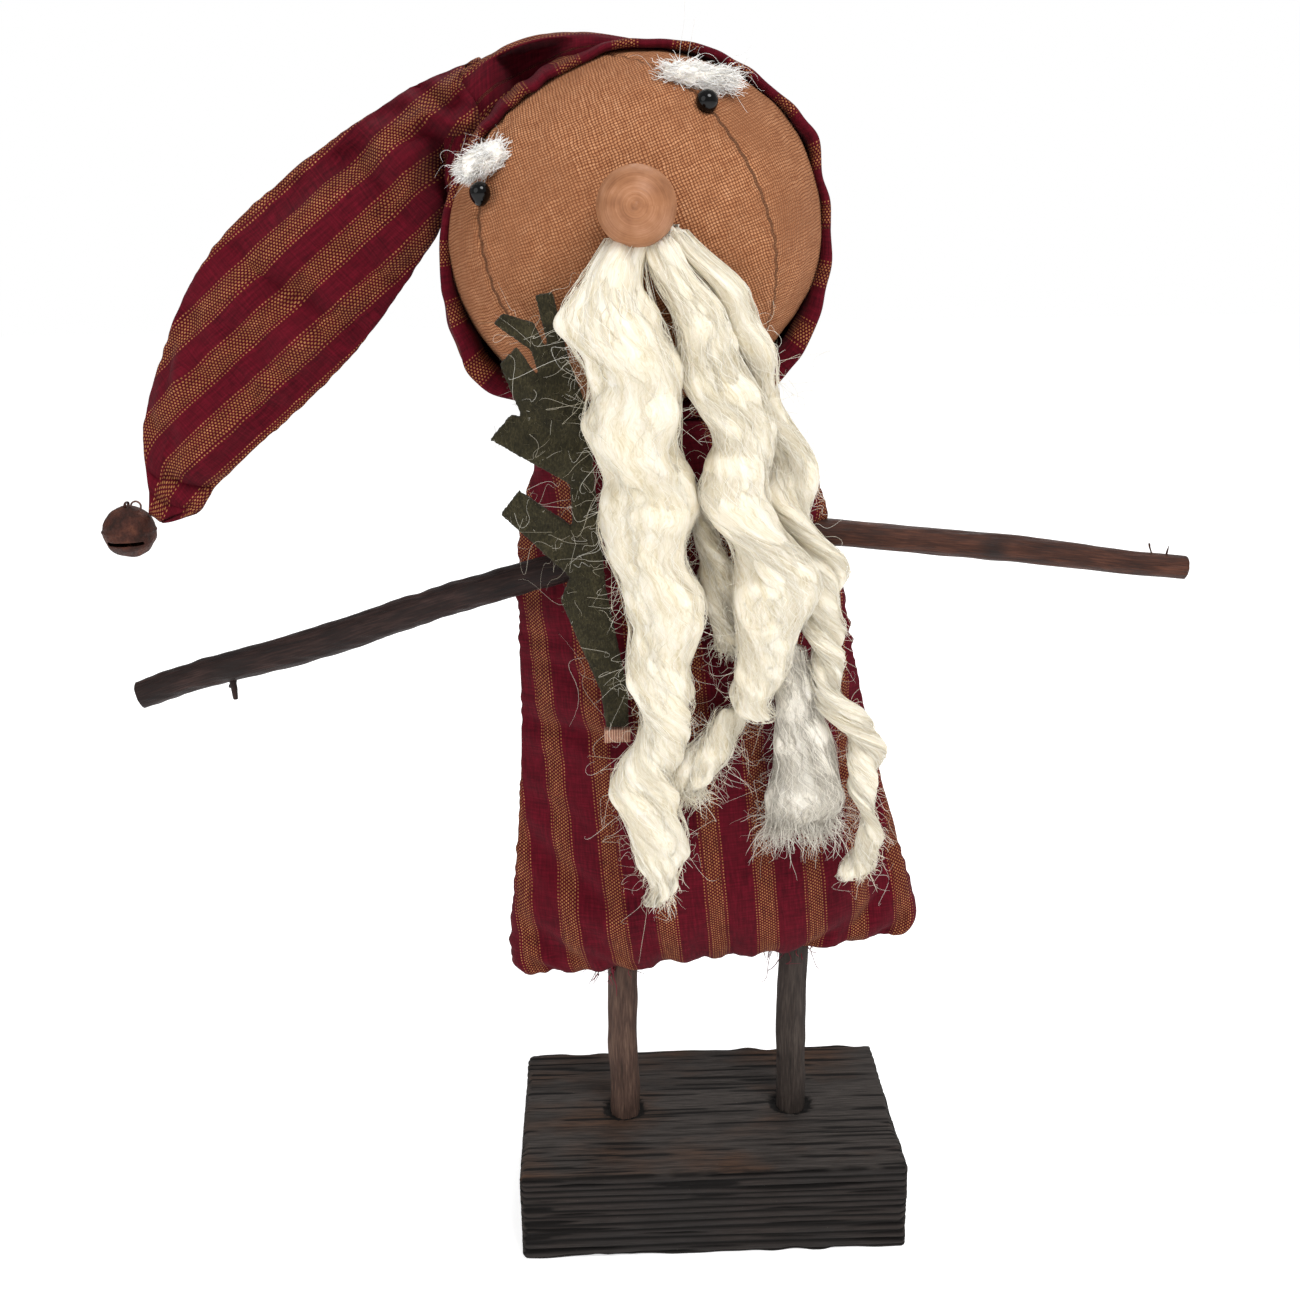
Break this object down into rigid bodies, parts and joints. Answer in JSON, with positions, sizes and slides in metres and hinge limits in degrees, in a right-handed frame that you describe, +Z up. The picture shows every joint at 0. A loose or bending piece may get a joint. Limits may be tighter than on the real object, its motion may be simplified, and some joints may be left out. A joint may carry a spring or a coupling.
{
  "type": "tomte gnome figurine",
  "caption": "Stuffed cloth gnome on a wood block, with stick legs, twig arms, a wooden nose, a wool beard and a long drooping striped cap with a bell.",
  "frame": {"origin": "middle of the wood block's underside", "axes": "+Z up, -Y the way the figure faces, +X towards the figure's own left hand"},
  "size_m": [0.4024, 0.1388, 0.4498],
  "materials": {
    "block_wood": "weathered, dark stained, open grain",
    "leg_wood": "dull, lengthwise grain",
    "dark_twig": "bark, satin",
    "red_twig": "bark, satin",
    "striped_cloth": "homespun, burgundy with tan woven stripes",
    "fibre_fill": "loose polyester fibre",
    "face_cloth": "coarse plain weave, tan",
    "nose_wood": "turned, fine end grain, waxed",
    "hidden_wood": "plain dowel",
    "black_bead": "gloss, opaque",
    "white_wool": "wool roving, fluffy",
    "cream_wool": "wool roving, soft sheen",
    "olive_felt": "felt, matt",
    "copper_band": "narrow woven tape",
    "rusty_tin": "rusted sheet steel",
    "thread": "cotton thread"
  },
  "bodies": {
    "figure": {"base_block": "block_wood", "body_back_panel": "striped_cloth", "body_front_panel": "striped_cloth", "body_stuffing": "fibre_fill", "felt_sprig": "olive_felt", "hat_crown": "striped_cloth", "head_back_gore": "face_cloth", "head_front_gore": "face_cloth", "head_left_gore": "face_cloth", "head_right_gore": "face_cloth", "head_stuffing": "fibre_fill", "left_brow_tuft": "white_wool", "left_eye_bead": "black_bead", "left_leg_stick": "leg_wood", "neck_dowel": "hidden_wood", "nose_ball": "nose_wood", "right_brow_tuft": "white_wool", "right_eye_bead": "black_bead", "right_leg_stick": "leg_wood", "sprig_band": "copper_band"},
    "tail": {"hat_tail": "striped_cloth", "hat_tail_stuffing": "fibre_fill", "bell_thread": "thread"},
    "bell": {"bell_staple": "rusty_tin", "bell_shell": "rusty_tin"},
    "pellet": {"bell_pellet": "rusty_tin"},
    "left_arm": {"left_arm_twig": "red_twig"},
    "right_arm": {"right_arm_twig": "dark_twig"},
    "beard": {"beard_centre_lock": "cream_wool", "beard_cross_lock": "cream_wool", "beard_frayed_lock": "white_wool", "beard_inner_lock": "cream_wool", "beard_main_lock": "cream_wool", "beard_outer_lock": "cream_wool"}
  },
  "joints": [
    {"name": "hat_tail_lift", "type": "hinge", "parent": "figure", "child": "tail", "pos_m": [-0.06, 0.006, 0.434], "axis": [0, 1, 0], "range_deg": [0, 40]},
    {"name": "bell_swing", "type": "hinge", "parent": "tail", "child": "bell", "pos_m": [-0.2095, 0, 0.299], "axis": [1, 0, 0], "range_deg": [-30, 30]},
    {"name": "bell_pellet_roll", "type": "hinge", "parent": "bell", "child": "pellet", "pos_m": [-0.2095, 0, 0.28745], "axis": [0, 1, 0], "range_deg": [-60, 60]},
    {"name": "right_arm_pivot", "type": "hinge", "parent": "figure", "child": "right_arm", "pos_m": [-0.06, -0.018, 0.273], "axis": [-0.0378, 0.9992, -0.0107], "range_deg": [-12, 12]},
    {"name": "left_arm_pivot", "type": "hinge", "parent": "figure", "child": "left_arm", "pos_m": [0.0465, 0, 0.2815], "axis": [0, 1, 0], "range_deg": [-12, 12]},
    {"name": "beard_lift", "type": "hinge", "parent": "figure", "child": "beard", "pos_m": [-0.02, -0.062, 0.388], "axis": [-1, 0, 0], "range_deg": [0, 30]}
  ]
}
